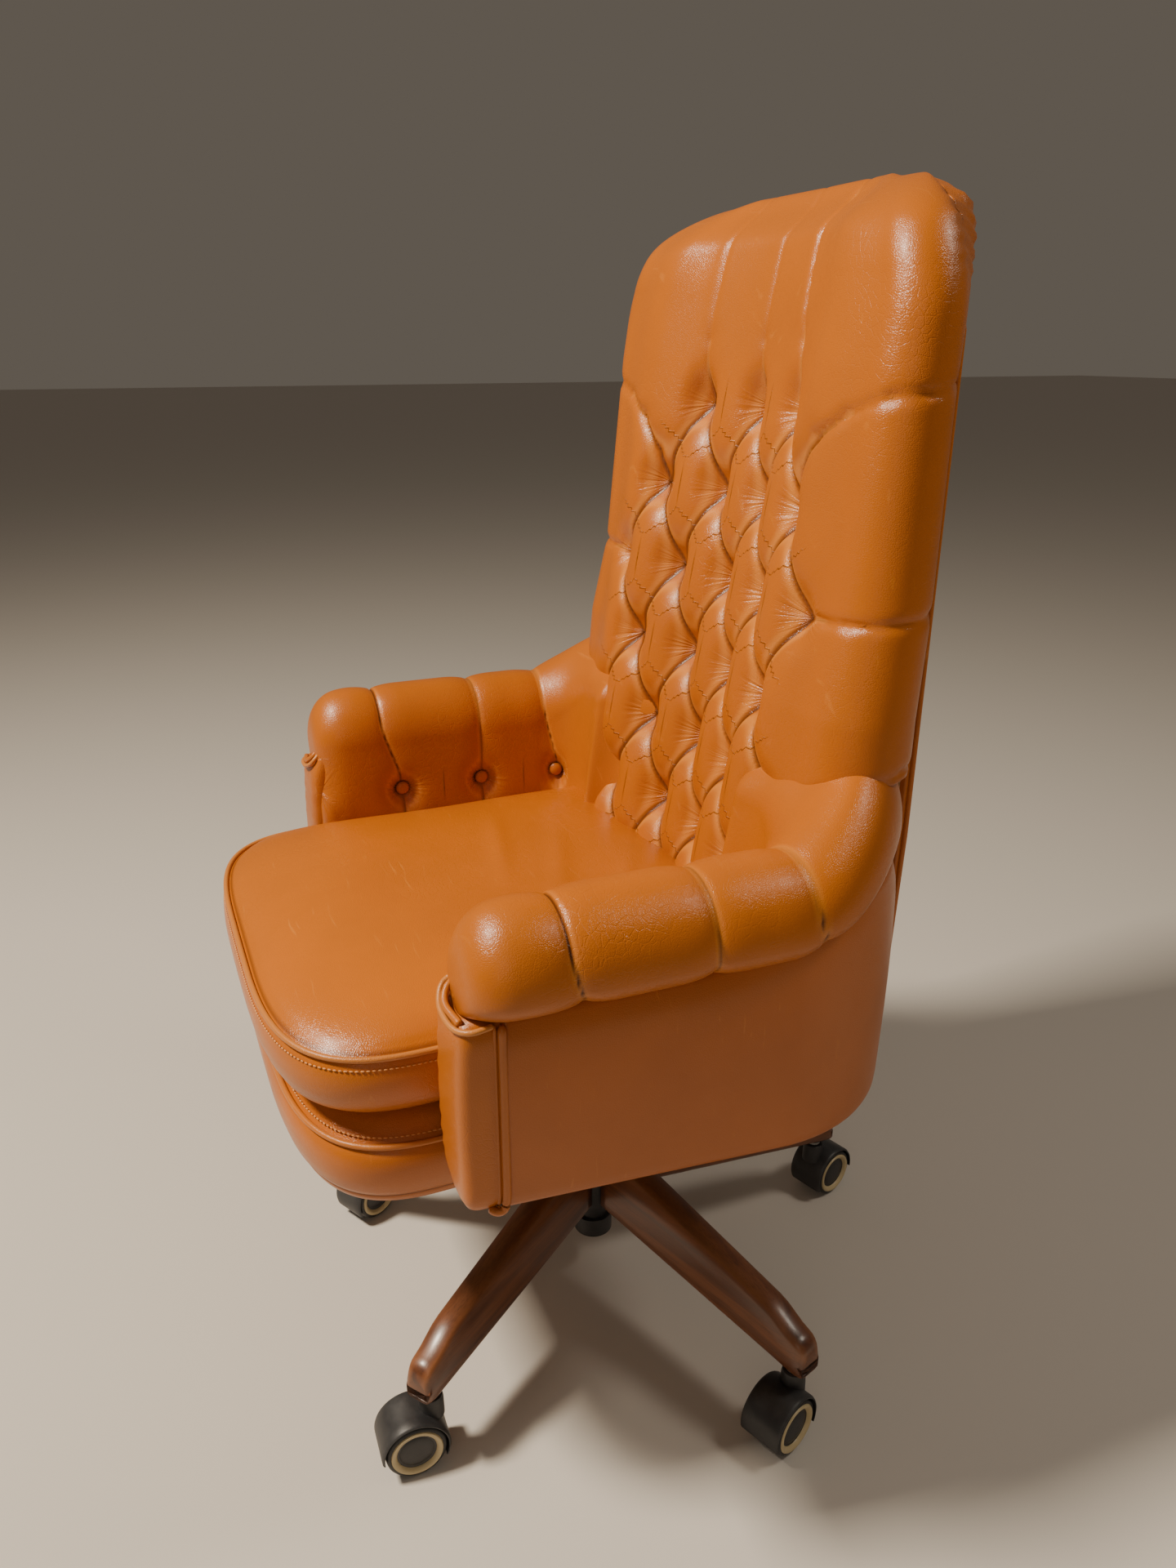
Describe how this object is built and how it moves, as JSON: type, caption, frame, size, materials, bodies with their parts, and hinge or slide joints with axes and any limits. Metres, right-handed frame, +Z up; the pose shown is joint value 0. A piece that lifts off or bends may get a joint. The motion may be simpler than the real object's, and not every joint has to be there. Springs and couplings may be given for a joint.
{
  "type": "swivel office chair",
  "caption": "High-backed tub office chair with a deep-buttoned leather back and padded roll arms, on a wooden star base with twin-wheel casters; it swivels, lifts and tilts.",
  "frame": {"origin": "on the floor, on the swivel axis, at the middle of the chair's footprint", "axes": "+Z up; the chair faces -Y, and +X is towards the sitter's left arm"},
  "size_m": [0.692, 0.7155, 1.1414],
  "materials": {
    "leather": "semi-gloss cognac leather with fine grain",
    "piping": "leather piping, worn paler on its crest",
    "thread": "waxed sewing thread",
    "leg_wood": "red-brown hardwood under satin lacquer",
    "frame_wood": "plain plywood",
    "black_steel": "black powder coat",
    "bright_steel": "zinc-plated steel",
    "black_plastic": "moulded black nylon, slightly worn",
    "wheel_plastic": "black nylon tread",
    "ring_plastic": "cream plastic ring"
  },
  "bodies": {
    "base": {"base_hub": "black_steel", "leg_1": "leg_wood", "leg_2": "leg_wood", "leg_3": "leg_wood", "leg_4": "leg_wood", "leg_5": "leg_wood", "caster_sockets": "bright_steel", "leg_studs": "bright_steel", "column_tube": "black_steel", "column_cap": "black_plastic"},
    "rod": {"piston_rod": "bright_steel", "thrust_bearing": "bright_steel"},
    "mechanism": {"gas_cylinder": "black_steel", "tilt_housing": "black_steel", "tilt_spring": "bright_steel", "pivot_pin": "bright_steel"},
    "tension_knob": {"tension_knob": "black_plastic"},
    "lift_lever": {"lift_lever": "black_plastic"},
    "seat": {"tilt_plate": "black_steel", "plate_bolts": "bright_steel", "seat_frame": "frame_wood", "front_rail": "leather", "seat_cushion": "leather", "back_frame": "frame_wood", "back_pad": "leather", "outside_back": "leather", "arm_pad_left": "leather", "arm_pad_right": "leather", "arm_front_left": "leather", "arm_front_right": "leather", "outside_arm_left": "leather", "outside_arm_right": "leather", "arm_buttons": "leather", "welts": "piping"},
    "caster_1": {"caster_stem_1": "bright_steel", "caster_hood_1": "black_plastic", "caster_axle_1": "bright_steel"},
    "wheel_1_a": {"wheel_1_a": "wheel_plastic"},
    "wheel_1_b": {"wheel_1_b": "wheel_plastic"},
    "caster_2": {"caster_stem_2": "bright_steel", "caster_hood_2": "black_plastic", "caster_axle_2": "bright_steel"},
    "wheel_2_a": {"wheel_2_a": "wheel_plastic"},
    "wheel_2_b": {"wheel_2_b": "wheel_plastic"},
    "caster_3": {"caster_stem_3": "bright_steel", "caster_hood_3": "black_plastic", "caster_axle_3": "bright_steel"},
    "wheel_3_a": {"wheel_3_a": "wheel_plastic"},
    "wheel_3_b": {"wheel_3_b": "wheel_plastic"},
    "caster_4": {"caster_stem_4": "bright_steel", "caster_hood_4": "black_plastic", "caster_axle_4": "bright_steel"},
    "wheel_4_a": {"wheel_4_a": "wheel_plastic"},
    "wheel_4_b": {"wheel_4_b": "wheel_plastic"},
    "caster_5": {"caster_stem_5": "bright_steel", "caster_hood_5": "black_plastic", "caster_axle_5": "bright_steel"},
    "wheel_5_a": {"wheel_5_a": "wheel_plastic"},
    "wheel_5_b": {"wheel_5_b": "wheel_plastic"}
  },
  "joints": [
    {"name": "seat_swivel", "type": "hinge", "parent": "base", "child": "rod", "pos_m": [0, 0, 0.11], "axis": [0, 0, 1], "continuous": true},
    {"name": "height_lift", "type": "slide", "parent": "rod", "child": "mechanism", "axis": [0, 0, 1], "range_m": [0, 0.09]},
    {"name": "seat_tilt", "type": "hinge", "parent": "mechanism", "child": "seat", "pos_m": [0, -0.04, 0.33], "axis": [-1, 0, 0], "range_deg": [0, 12], "stiffness_Nm_per_rad": 180, "springref_deg": -20.05},
    {"name": "tension_turn", "type": "hinge", "parent": "mechanism", "child": "tension_knob", "pos_m": [0, -0.092, 0.25], "axis": [0, 0, 1], "range_deg": [-360, 360]},
    {"name": "lever_lift", "type": "hinge", "parent": "mechanism", "child": "lift_lever", "pos_m": [-0.067, 0.02, 0.316], "axis": [0, 1, 0], "range_deg": [-2, 8], "stiffness_Nm_per_rad": 1},
    {"name": "caster_swivel_1", "type": "hinge", "parent": "base", "child": "caster_1", "pos_m": [0.28532, 0.0927, 0.08], "axis": [0, 0, 1], "continuous": true},
    {"name": "wheel_spin_1_a", "type": "hinge", "parent": "caster_1", "child": "wheel_1_a", "pos_m": [0.29281, 0.07416, 0.03], "axis": [0.9272, 0.3746, 0], "continuous": true},
    {"name": "wheel_spin_1_b", "type": "hinge", "parent": "caster_1", "child": "wheel_1_b", "pos_m": [0.29281, 0.07416, 0.03], "axis": [0.9272, 0.3746, 0], "continuous": true},
    {"name": "caster_swivel_2", "type": "hinge", "parent": "base", "child": "caster_2", "pos_m": [0, 0.3, 0.08], "axis": [0, 0, 1], "continuous": true},
    {"name": "wheel_spin_2_a", "type": "hinge", "parent": "caster_2", "child": "wheel_2_a", "pos_m": [-0.00651, 0.31891, 0.03], "axis": [-0.9455, -0.3256, 0], "continuous": true},
    {"name": "wheel_spin_2_b", "type": "hinge", "parent": "caster_2", "child": "wheel_2_b", "pos_m": [-0.00651, 0.31891, 0.03], "axis": [-0.9455, -0.3256, 0], "continuous": true},
    {"name": "caster_swivel_3", "type": "hinge", "parent": "base", "child": "caster_3", "pos_m": [-0.28532, 0.0927, 0.08], "axis": [0, 0, 1], "continuous": true},
    {"name": "wheel_spin_3_a", "type": "hinge", "parent": "caster_3", "child": "wheel_3_a", "pos_m": [-0.30454, 0.08719, 0.03], "axis": [0.2756, -0.9613, 0], "continuous": true},
    {"name": "wheel_spin_3_b", "type": "hinge", "parent": "caster_3", "child": "wheel_3_b", "pos_m": [-0.30454, 0.08719, 0.03], "axis": [0.2756, -0.9613, 0], "continuous": true},
    {"name": "caster_swivel_4", "type": "hinge", "parent": "base", "child": "caster_4", "pos_m": [-0.17634, -0.24271, 0.08], "axis": [0, 0, 1], "continuous": true},
    {"name": "wheel_spin_4_a", "type": "hinge", "parent": "caster_4", "child": "wheel_4_a", "pos_m": [-0.18573, -0.22505, 0.03], "axis": [-0.8829, -0.4695, 0], "continuous": true},
    {"name": "wheel_spin_4_b", "type": "hinge", "parent": "caster_4", "child": "wheel_4_b", "pos_m": [-0.18573, -0.22505, 0.03], "axis": [-0.8829, -0.4695, 0], "continuous": true},
    {"name": "caster_swivel_5", "type": "hinge", "parent": "base", "child": "caster_5", "pos_m": [0.17634, -0.24271, 0.08], "axis": [0, 0, 1], "continuous": true},
    {"name": "wheel_spin_5_a", "type": "hinge", "parent": "caster_5", "child": "wheel_5_a", "pos_m": [0.17564, -0.26269, 0.03], "axis": [0.9994, -0.0349, 0], "continuous": true},
    {"name": "wheel_spin_5_b", "type": "hinge", "parent": "caster_5", "child": "wheel_5_b", "pos_m": [0.17564, -0.26269, 0.03], "axis": [0.9994, -0.0349, 0], "continuous": true}
  ]
}
